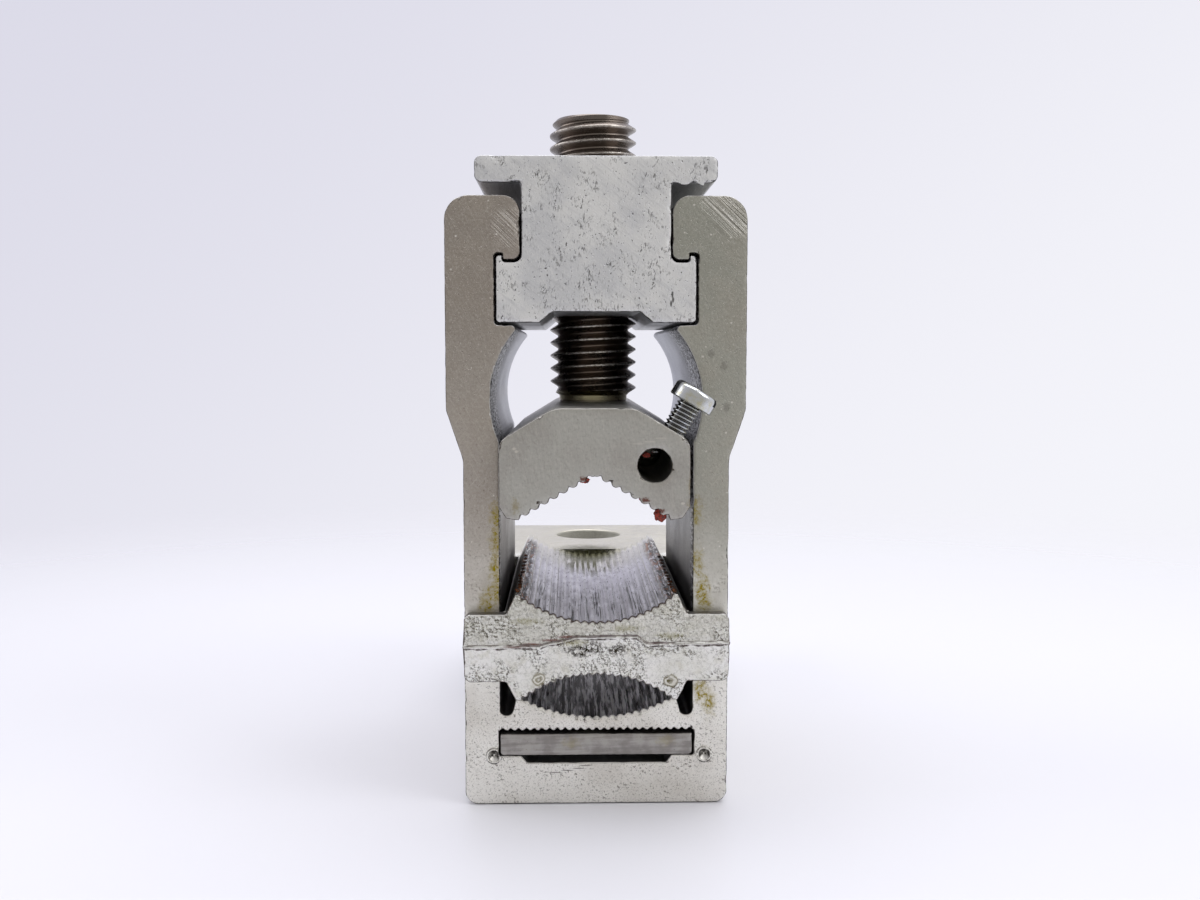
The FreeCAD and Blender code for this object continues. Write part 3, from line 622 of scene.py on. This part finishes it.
    # Dark broken edges at the front: ragged dirt, and painted shade, weaker where the edges look up into
    # the light.
    dirty = g.scaled(g.noise(0.6, shift=5.0, detail=4.0, rough=0.75), 0.36, 0.54, 0.3, 1.0)
    near_front = g.scaled(y, bar_front_y + 1.0, bar_front_y + 0.6)
    g.paint(g.times(g.broken_edge(), dirty, near_front), 0.9, (58, 40, 29))
    groove_rim = g.times(g.lit_edge(), g.scaled(from_middle, 9.6, 9.3), near_front)
    g.paint(g.times(g.lit_edge(), near_front), 0.8, (231, 231, 228))
    dark_rim = g.times(g.edges(0.3, 0.003, 0.03), g.scaled(from_middle, 9.5, 9.2), g.scaled(z, 21.9, 22.1),
                       near_front)
    g.paint(g.most(groove_rim, dark_rim), 0.9, (70, 40, 30))
    g.feed(g.shader, {"Metallic": g.inverse(g.times(palm_hole, 0.85))})
    roughness = g.plus(g.scaled(waves, 0.3, 0.7, 0.32, 0.46),
                       g.plus(g.times(hollow, 0.05), g.times(palm_hole, 0.25)))
    relief = g.plus(g.times(sand, 1.4), g.times(waves, 1.6))
    relief = g.math("SUBTRACT", relief, g.times(specks, 0.8))
    relief = g.times(relief, g.inverse(g.times(hollow, 0.75)))
    return g.finish(roughness, relief, 0.09)


def plate_metal():
    """Rolled plate with a dull grey, slightly smeared sawn end."""
    g = Surface("plate_metal", front_y)
    end = g.facing(1)
    across = g.noise((5.0, 20.0, 0.35), 2.0, detail=3.0)
    cloud = g.noise(2.4, detail=4.0)
    grain = g.noise(0.2, detail=3.0, rough=0.7)
    mixed = g.plus(g.times(across, 0.35), g.times(cloud, 0.65))
    g.colour = g.blend(g.scaled(mixed, 0.4, 0.6), (136, 132, 128), (168, 165, 160))
    g.paint(g.scaled(grain, 0.36, 0.28), 0.6, (81, 76, 71))
    yellow = g.spots([(-3.2, 7.6), (8.6, 7.9)], (1.6, 2.0, 1.0), wobble=0.8, core=0.0)
    g.paint(yellow, 0.4, (150, 141, 101))
    g.paint(g.edges(0.3), 0.5, (214, 212, 206))
    # Dark broken edges: ragged dirt, and painted shade, weaker where the edges look up into the light.
    ragged = g.scaled(g.noise(0.6, shift=3.0, rough=0.7), 0.38, 0.56, 0.2, 1.0)
    g.paint(g.times(g.broken_edge(), ragged), 0.9, (54, 49, 43))
    roughness = g.scaled(cloud, 0.3, 0.7, 0.34, 0.46)
    relief = g.plus(g.times(grain, 0.6), g.times(across, end))
    return g.finish(roughness, relief, 0.025)


def dark_steel():
    """Dark oiled steel thread with painted highlights on its crests, broken in places, and a yellowish
    neck.
    """
    g = Surface("dark_steel")
    x, y, z = g.parts(g.place)
    reach = g.math("SQRT", g.plus(g.times(x, x), g.times(y, y)))
    cloud = g.noise(3.0, detail=4.0)
    rings = g.noise((6.0, 6.0, 0.12), detail=2.0)
    grain = g.noise(0.14, detail=2.0)
    top = g.scaled(z, 70.0, 80.0)
    g.colour = g.blend(g.scaled(cloud, 0.35, 0.65), (107, 100, 93), (125, 112, 101))
    g.paint(top, 0.5, (112, 105, 100))
    # Painted highlights on the thread's crests, broken in places and fainter near the top.
    crest_breaks = g.scaled(g.noise((0.5, 0.5, 0.2), shift=2.0, rough=0.7), 0.42, 0.56)
    broken = g.plus(g.times(crest_breaks, 0.75), 0.25)
    crest = g.times(g.scaled(reach, 5.68, 5.88), g.scaled(z, 49.9, 50.6), broken)
    g.paint(g.times(crest, g.inverse(g.times(top, 0.5))), 0.95, (221, 217, 210))
    neck = g.times(g.scaled(z, 51.0, 50.6), g.scaled(z, 49.4, 49.7))
    g.paint(neck, 0.7, (186, 179, 143))
    g.paint(g.edges(0.12, 0.05, 0.5), 0.4, (186, 181, 174))
    roughness = g.scaled(cloud, 0.3, 0.7, 0.22, 0.36)
    relief = g.plus(g.times(grain, 0.4), rings)
    return g.finish(roughness, relief, 0.025)


def zinc_steel(place=None):
    """Bright zinc with a faint yellow tint. A thread that stands at this place has painted shade in its
    valleys.
    """
    g = Surface("zinc_steel")
    cloud = g.noise(1.2, detail=3.0)
    grain = g.noise(0.12, detail=2.0)
    g.colour = g.blend(g.scaled(cloud, 0.45, 0.7), (195, 198, 201), (186, 183, 161))
    if place is not None:
        from_foot = g.vector("SUBTRACT", g.place, place.translation / MM)
        from_axis = g.length(g.vector("CROSS_PRODUCT", from_foot, place.col[2].to_3d()))
        # Painted shade in the thread's valleys.
        g.paint(g.scaled(from_axis, 1.44, 1.26), 0.85, (74, 71, 66))
    roughness = g.scaled(cloud, 0.3, 0.7, 0.14, 0.26)
    return g.finish(roughness, grain, 0.006)


def spring_steel():
    """Oiled spring steel."""
    g = Surface("spring_steel")
    cloud = g.noise(1.5, detail=3.0)
    g.colour = g.blend(cloud, (100, 98, 98), (129, 127, 127))
    return g.finish(g.scaled(cloud, 0.3, 0.7, 0.28, 0.4), g.noise(0.15), 0.01)


def rust():
    """Crumbly red brown rust."""
    g = Surface("rust", metallic=0.0)
    crumbs = g.noise(0.25, detail=4.0, rough=0.7)
    g.colour = g.blend(g.scaled(crumbs, 0.38, 0.62), (66, 18, 12), (158, 56, 40))
    return g.finish(g.scaled(crumbs, 0.3, 0.7, 0.5, 0.8), crumbs, 0.12)


def dirt():
    """Dark brown dirt with orange grains."""
    g = Surface("dirt", metallic=0.0)
    crumbs = g.noise(0.3, detail=4.0, rough=0.7)
    g.colour = g.blend(g.scaled(crumbs, 0.46, 0.62), (40, 27, 18), (150, 88, 36))
    return g.finish(g.scaled(crumbs, 0.3, 0.7, 0.5, 0.8), crumbs, 0.1)


def set_material(piece, material):
    piece.data.materials.clear()
    piece.data.materials.append(material)


def new_object(name, data):
    """New object from a mesh, a lamp or a camera, or from a finished bmesh."""
    if isinstance(data, bmesh.types.BMesh):
        finished = data
        data = bpy.data.meshes.new(name)
        finished.to_mesh(data)
        finished.free()
    thing = bpy.data.objects.new(name, data)
    bpy.context.scene.collection.objects.link(thing)
    return thing


def add_piece(name, mesh, body, material):
    """New piece from a finished bmesh, smooth except at its sharp edges, riding on a body."""
    piece = new_object(name, mesh)
    piece.data.shade_smooth()
    piece.data.set_sharp_from_angle(angle=math.radians(edge_angle_deg))
    set_material(piece, material)
    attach(piece, body)
    return piece


def front_part(mesh, limit_y):
    """The faces of a mesh that lie wholly before a place along the clamp, with their edges and points."""
    faces = [f for f in mesh.faces if all(v.co.y < limit_y * MM for v in f.verts)]
    edges = {e for f in faces for e in f.edges}
    verts = {v for f in faces for v in f.verts}
    return faces + list(edges) + list(verts)


def cut_lines(mesh, limit_y, axis, low, high, step):
    """Cuts the front part of a mesh by evenly spaced planes across one axis."""
    normal = Vector((0, 0, 0))
    normal[axis] = 1
    for i in range(round((high - low) / step) + 1):
        bmesh.ops.bisect_plane(mesh, geom=front_part(mesh, limit_y), dist=weld * MM,
                               plane_co=normal * (low + i * step) * MM, plane_no=normal)


def worn(vert, y_front, _=None):
    """Uneven sawn edges: points on the front's rim sink by a small uneven amount, deeper at a few nicks."""
    if vert.normal.y < -0.995 or vert.co.y > (y_front + 0.9 * worn_band) * MM:
        return
    place = vert.co / MM
    uneven = 0.5 + 0.5 * noise.noise(place * 1.1)
    nick = max(0.0, noise.noise(place * 0.7 + Vector((9, 4, 2))) - 0.32)
    vert.co -= vert.normal * (wear_depth * uneven + nick_depth * nick) * MM


def burred(vert, y_front, _=None):
    """Worn edges, and a burr that hangs from the right flange."""
    worn(vert, y_front)
    x, y, z = vert.co / MM
    middle = (burrs[0][0] + burrs[1][0]) / 2
    off = abs(z - burrs[0][1]) / 0.3
    if y < y_front + 0.2 and off < 1 and abs(x - middle) < burr_reach / 2:
        hang = 0.5 + 0.5 * math.sin(3.1 * x) + 0.6 * noise.noise(Vector((x * 2.3, 0, 1)))
        vert.co.z -= burr_depth * (1 - off) * max(0.0, hang) * MM


def parting_z(x):
    """Height of the bar's parting line at x."""
    for x0, x1, rise0, rise1 in zip(parting_x, parting_x[1:], parting_rise, parting_rise[1:]):
        if x <= x1:
            return bar_mid_z + rise0 + (rise1 - rise0) * (x - x0) / (x1 - x0)
    return bar_mid_z + parting_rise[-1]


def cast(vert, y_front, above_layer):
    """Cast skin on the bar's front: waves, sand, the parting ridge, pits and the pins' raised rings."""
    x, y, z = vert.co / MM
    vert[above_layer] = z - parting_z(x)
    if y > y_front + 1.2:
        return
    flat = Vector((x, z, 0))
    out = 0.07 * noise.noise(flat * 0.45) + 0.05 * noise.noise(flat * 1.2) + 0.035 * noise.noise(flat * 3.1)
    wander = 0.12 * noise.noise(Vector((x * 0.6, 3, 0)))
    above = vert[above_layer] - wander
    broken = 0.75 + 0.5 * noise.noise(Vector((x * 0.9, 0, 5)))
    out += parting_height * math.exp(-(above / 0.2) ** 2) * broken
    out -= 0.1 * math.exp(-((above - 0.38) / 0.16) ** 2)
    away = math.hypot((x - pit_cluster[0]) / 2.2, (z - pit_cluster[1]) / 1.1)
    out -= pit_depth * max(0.0, 1 - away) * max(0.0, 0.4 + noise.noise(flat * 2.3))
    for mark_x, mark_z in pin_marks:
        ring = math.hypot(x - mark_x, (z - mark_z) * 0.85) - pin_mark_radius
        out += pin_mark_height * math.exp(-(ring / 0.16) ** 2)
    vert.co += vert.normal * out * MM


def staked(vert, y_front, _=None):
    """Worn edges, and the two punch marks beside the plate."""
    worn(vert, y_front)
    if vert.co.y > (y_front + 0.05) * MM:
        return
    x, _, z = vert.co / MM
    for stake_x, stake_z in stakes:
        away = math.hypot(x - stake_x, z - stake_z)
        dent = stake_depth * math.exp(-(away / stake_radius) ** 2)
        raised_rim = 0.14 * math.exp(-((away - 0.8) / 0.2) ** 2)
        vert.co.y += (dent - raised_rim) * MM


def broken_edges(node, name, body, material, y_front, step, shape, fine_spots=()):
    """Stands for a node: the same solid with broken edges and, on its front, a finer mesh for its wear."""
    mesh = bmesh.new()
    mesh.from_mesh(nodes[node].data)
    bmesh.ops.remove_doubles(mesh, verts=mesh.verts, dist=weld * MM)
    bmesh.ops.dissolve_limit(mesh, angle_limit=math.radians(flat_angle_deg), verts=mesh.verts,
                             edges=mesh.edges)
    skin = BVHTree.FromBMesh(mesh)
    sharp = [e for e in mesh.edges
             if len(e.link_faces) == 2 and e.calc_face_angle() > math.radians(edge_angle_deg)]
    bmesh.ops.bevel(mesh, geom=sharp, offset=edge_break * MM, offset_type="OFFSET", segments=2, profile=0.5,
                    clamp_overlap=False, affect="EDGES")
    for vert in mesh.verts:
        near = skin.find_nearest(vert.co)[0]
        if (vert.co - near).length > 1.5 * edge_break * MM:
            vert.co = near
    band_y = y_front + worn_band
    rear_y = max(v.co.y for v in mesh.verts) / MM
    for cut_y in (band_y, band_y + calm_strip, rear_y - edge_break - calm_strip):
        bmesh.ops.bisect_plane(mesh, geom=mesh.faces[:] + mesh.edges[:] + mesh.verts[:], dist=weld * MM,
                               plane_co=Vector((0, cut_y, 0)) * MM, plane_no=Vector((0, 1, 0)))
    low = [min(v.co[axis] for v in mesh.verts) / MM for axis in range(3)]
    high = [max(v.co[axis] for v in mesh.verts) / MM for axis in range(3)]
    for axis in (0, 2):
        cut_lines(mesh, band_y + weld, axis, low[axis] + step, high[axis] - step, step)
    for x, z in fine_spots:
        cut_lines(mesh, band_y + weld, 0, x - fine_reach, x + fine_reach, fine_step)
        cut_lines(mesh, band_y + weld, 2, z - fine_reach, z + fine_reach, fine_step)
    bmesh.ops.remove_doubles(mesh, verts=mesh.verts, dist=sliver * MM)
    bmesh.ops.triangulate(mesh, faces=mesh.faces)
    mesh.normal_update()
    layer = mesh.verts.layers.float.new("above_parting")
    for vert in mesh.verts:
        shape(vert, y_front, layer)
    mesh.normal_update()
    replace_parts(add_piece(name, mesh, body, material), node)


class Lathe:
    """A mesh of rings round the Z axis, each with the same number of points."""

    def __init__(self, steps):
        self.mesh = bmesh.new()
        self.angles = [2 * math.pi * i / steps for i in range(steps)]

    def point(self, reach, angle, z):
        place = Vector((reach * math.cos(angle), reach * math.sin(angle), z))
        return self.mesh.verts.new(place * MM)

    def ring(self, radius, z):
        """One ring. The radius is a length or a function of the angle."""
        if callable(radius):
            return [self.point(radius(angle), angle, z) for angle in self.angles]
        return [self.point(radius, angle, z) for angle in self.angles]

    def join(self, low, high):
        """Faces between two rings."""
        for i in range(len(low)):
            self.mesh.faces.new((low[i - 1], low[i], high[i], high[i - 1]))

    def rings(self, profile):
        """Rings through a list of (radius, z), joined in order."""
        rows = [self.ring(radius, z) for radius, z in profile]
        for low, high in zip(rows, rows[1:]):
            self.join(low, high)
        return rows

    def cap(self, row, z):
        """Closes a ring with a point on the axis."""
        tip = self.mesh.verts.new((0, 0, z * MM))
        for i in range(len(row)):
            self.mesh.faces.new((row[i - 1], row[i], tip))

    def thread(self, crest, depth, pitch, crest_at, low, high, limit):
        """Right-hand thread between two heights. limit gives the largest radius at a height."""
        per_turn = len(thread_profile)
        first = math.floor((low - crest_at) / pitch) - 1
        turns = math.ceil((high - low) / pitch) + 3
        rows = []
        for turn in range(turns):
            for place, share in thread_profile:
                row = []
                for i, angle in enumerate(self.angles):
                    height = crest_at + pitch * (first + turn + place + i / len(self.angles))
                    height = min(max(height, low), high)
                    reach = min(crest - depth * share, limit(height))
                    if height in (low, high):
                        reach = limit(height)
                    row.append(self.point(reach, angle, height))
                rows.append(row)
        last = len(self.angles) - 1
        for j in range(len(rows) - 1):
            for i in range(last):
                self.mesh.faces.new((rows[j][i], rows[j][i + 1], rows[j + 1][i + 1], rows[j + 1][i]))
            if j + 1 + per_turn < len(rows):
                self.mesh.faces.new((rows[j][last], rows[j + per_turn][0], rows[j + 1 + per_turn][0],
                                     rows[j + 1][last]))

    def tidy(self):
        """Merges points that fell together and turns all faces outwards."""
        bmesh.ops.remove_doubles(self.mesh, verts=self.mesh.verts, dist=sliver * MM)
        bmesh.ops.dissolve_degenerate(self.mesh, edges=self.mesh.edges, dist=0.001 * MM)
        loose = [v for v in self.mesh.verts if not v.link_faces]
        bmesh.ops.delete(self.mesh, geom=loose, context="VERTS")
        bmesh.ops.recalc_face_normals(self.mesh, faces=self.mesh.faces)
        return self.mesh


def hexagon(flats):
    """Radius of a hexagon as a function of the angle."""
    sixth = math.pi / 3
    return lambda angle: flats / 2 / math.cos((angle % sixth) - sixth / 2)


def pressure_screw(material):
    """Set screw with its helical thread, the grooved spigot below and the hexagon socket above."""
    lathe = Lathe(96)

    def limit(z):
        return min(main_low_radius + (z - main_low) * main_low_slope, main_crest,
                   main_crest - main_high_chamfer + (main_high - z))

    lathe.thread(main_crest, main_depth, main_pitch, main_crest_at_right, main_low, main_high, limit)
    below = lathe.rings(spigot_profile + [(main_low_radius, main_low - 0.05), (main_low_radius, main_low)])
    lathe.cap(below[0], spigot_profile[0][1])
    socket = hexagon(socket_flats)
    mouth = socket_flats / math.sqrt(3) + 0.1
    above = lathe.rings([
        (main_crest - main_high_chamfer, main_high),
        (mouth, main_high),
        (socket, main_high - socket_chamfer),
        (socket, main_high - socket_depth),
    ])
    lathe.cap(above[-1], main_high - socket_depth)
    piece = add_piece("pressure_screw_thread", lathe.tidy(), "pressure_screw", material)
    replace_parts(piece, "pressure_screw")


def auxiliary_screw(material):
    """Small cheese-head screw with its thread, leaning out of the jaw's shoulder."""
    lathe = Lathe(48)
    top = aux_under_head + aux_head_height

    def limit(z):
        return min(aux_crest - aux_depth + (z - aux_tip), aux_crest)

    lathe.thread(aux_crest, aux_depth, aux_pitch, aux_tip, aux_tip, aux_under_head, limit)
    lathe.cap(lathe.ring(limit(aux_tip), aux_tip), aux_tip)
    under = [(aux_crest, aux_under_head), (aux_head_radius - 0.15, aux_under_head),
             (aux_head_radius, aux_under_head + 0.12)]
    rounded = [(aux_head_radius - inset, top - drop) for inset, drop in aux_head_rounding]
    lathe.cap(lathe.rings(under + rounded)[-1], top)
    cutter = bmesh.new()
    bmesh.ops.create_cube(cutter, size=1.0)
    slot = Vector((aux_slot_width, aux_slot_length, 2 * aux_slot_depth))
    bmesh.ops.scale(cutter, vec=slot * MM, verts=cutter.verts)
    bmesh.ops.rotate(cutter, cent=(0, 0, 0), verts=cutter.verts,
                     matrix=Matrix.Rotation(math.radians(aux_slot_turn_deg), 3, "Z"))
    bmesh.ops.translate(cutter, vec=(0, 0, top * MM), verts=cutter.verts)
    mesh = cut_away(lathe.tidy(), cutter)
    bmesh.ops.transform(mesh, matrix=aux_place, verts=mesh.verts)
    piece = add_piece("auxiliary_screw_thread", mesh, "auxiliary_screw", material)
    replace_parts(piece, "auxiliary_screw")


def cut_away(body, cutter):
    """The first mesh less the second."""
    made = [new_object("scratch", mesh) for mesh in (body, cutter)]
    step = made[0].modifiers.new("cut", "BOOLEAN")
    step.object = made[1]
    step.operation = "DIFFERENCE"
    step.solver = "EXACT"
    result = bmesh.new()
    result.from_mesh(made[0].evaluated_get(bpy.context.evaluated_depsgraph_get()).to_mesh())
    for thing in made:
        bpy.data.objects.remove(thing)
    return result


def crumb(name, place, size, body, slot, material, fineness=4):
    """A ragged crumb of rust or dirt."""
    mesh = bmesh.new()
    bmesh.ops.create_icosphere(mesh, subdivisions=fineness, radius=1.0)
    for vert in mesh.verts:
        coarse = noise.noise(vert.co * 1.3 + Vector(place))
        fine = noise.noise(vert.co * 3.1 + Vector(place))
        ragged = vert.co * (1 + 0.45 * (coarse + 0.5 * fine))
        vert.co = (Vector(c * s for c, s in zip(ragged, size)) + Vector(place)) * MM
    add_piece(name, mesh, body, material)


def crumb_row(name, side, y0, y1, material):
    """Crumbs along the top of one of the bar's ridges, close together near the front."""
    for i in range(crumbs_in_row):
        share = (i / crumbs_in_row) ** 1.3
        y = y0 + (y1 - y0) * share
        x = side * (bar_ridge_x + 0.35 * noise.noise(Vector((y, side, 0))))
        grow = 1 + 0.5 * noise.noise(Vector((0, y, side)))
        size = (0.28 * grow, 0.6 * grow, 0.17)
        crumb("%s_%d" % (name, i), (x, y, bar_ridge_z), size, "frame", "tinned_casting", material, 3)


def add_floor():
    """Pale floor round the clamp that fades into the backdrop."""
    mesh = bmesh.new()
    bmesh.ops.create_circle(mesh, cap_ends=True, segments=96, radius=floor_radius)
    floor = new_object("floor", mesh)
    floor.location.z = -floor_drop * MM
    material = bpy.data.materials.new("floor")
    material.use_nodes = True
    g = Nodes(material.node_tree)
    from_middle = g.length(g.add("TexCoord").outputs["Object"])
    pale = g.add("BsdfPrincipled")
    g.feed(pale, {"Base Color": srgb(*floor_colour), "Roughness": floor_roughness})
    clear = g.add("BsdfTransparent")
    faded = {0: g.scaled(from_middle, *floor_fade), 1: pale.outputs[0], 2: clear.outputs[0]}
    mix = g.feed(g.add("MixShader"), faded)
    g.feed(g.add("OutputMaterial"), {"Surface": mix.outputs[0]})
    floor.data.materials.append(material)


def add_world():
    """Pale backdrop all round. To the clamp, but not to a camera, it is darker at the front."""
    world = bpy.data.worlds.new("studio")
    bpy.context.scene.world = world
    world.use_nodes = True
    g = Nodes(world.node_tree)
    place = g.add("TexCoord").outputs["Generated"]
    slant = g.vector("DOT_PRODUCT", place, backdrop_slant, "Value")
    backdrop = g.blend(g.scaled(slant, -0.6, 0.5), backdrop_high, backdrop_low)
    near_side = g.scaled(g.parts(place)[1], 0.1, -0.8)
    seen = g.add("LightPath").outputs["Is Camera Ray"]
    dimmed = g.math("SUBTRACT", near_side, seen, clamp=True)
    shown = g.feed(g.add("Background"), {"Color": g.blend(dimmed, backdrop, backdrop_dimmed)})
    g.feed(g.add("OutputWorld"), {"Surface": shown.outputs[0]})


def add_lamp(name, place, size, power):
    """Square soft lamp that points at the clamp's middle."""
    lamp = bpy.data.lights.new(name, "AREA")
    lamp.shape = "SQUARE"
    lamp.size = size
    lamp.energy = power
    thing = new_object(name, lamp)
    thing.location = place
    aim = Vector(lamp_target) - Vector(place)
    thing.rotation_euler = aim.to_track_quat("-Z", "Y").to_euler()


def add_camera():
    """Camera at the photograph's viewing point."""
    camera = bpy.data.cameras.new("camera")
    camera.lens = camera_lens
    camera.sensor_width = camera_sensor
    camera.clip_start = camera_nearest
    thing = new_object("camera", camera)
    thing.location = Vector(camera_place) * MM
    thing.rotation_euler = (math.radians(90 + camera_pitch_deg), 0, math.radians(-camera_yaw_deg))
    bpy.context.scene.camera = thing


rust_material = rust()
broken_edges("clamp_frame", "clamp_frame_sawn", "frame", frame_aluminium(),
             front_y, sawn_step, staked, stakes)
broken_edges("contact_bar", "contact_bar_cast", "frame", tinned_casting(),
             bar_front_y, cast_step, cast)
broken_edges("slot_plate", "slot_plate_cut", "frame", plate_metal(),
             front_y, plate_step, worn)
broken_edges("bridge", "bridge_sawn", "bridge", bridge_aluminium(),
             front_y, sawn_step, burred, burrs)
broken_edges("pressure_jaw", "pressure_jaw_sawn", "jaw", jaw_aluminium(),
             jaw_front_y, sawn_step, worn)
pressure_screw(dark_steel())
auxiliary_screw(zinc_steel(aux_place))
set_material(nodes["retaining_ring"], spring_steel())
for values in rust_crumbs:
    crumb(*values, "jaw", "jaw_aluminium", rust_material)
crumb("bright_chip_hole", (6.75, -26.6, 44.3), (0.45, 0.5, 0.14), "jaw", "jaw_aluminium", zinc_steel())
dirt_material = dirt()
for values in crumb_rows:
    crumb_row(*values, dirt_material)

add_floor()
add_world()
for values in lamps:
    add_lamp(*values)
add_camera()

bpy.context.scene.view_settings.view_transform = "Standard"
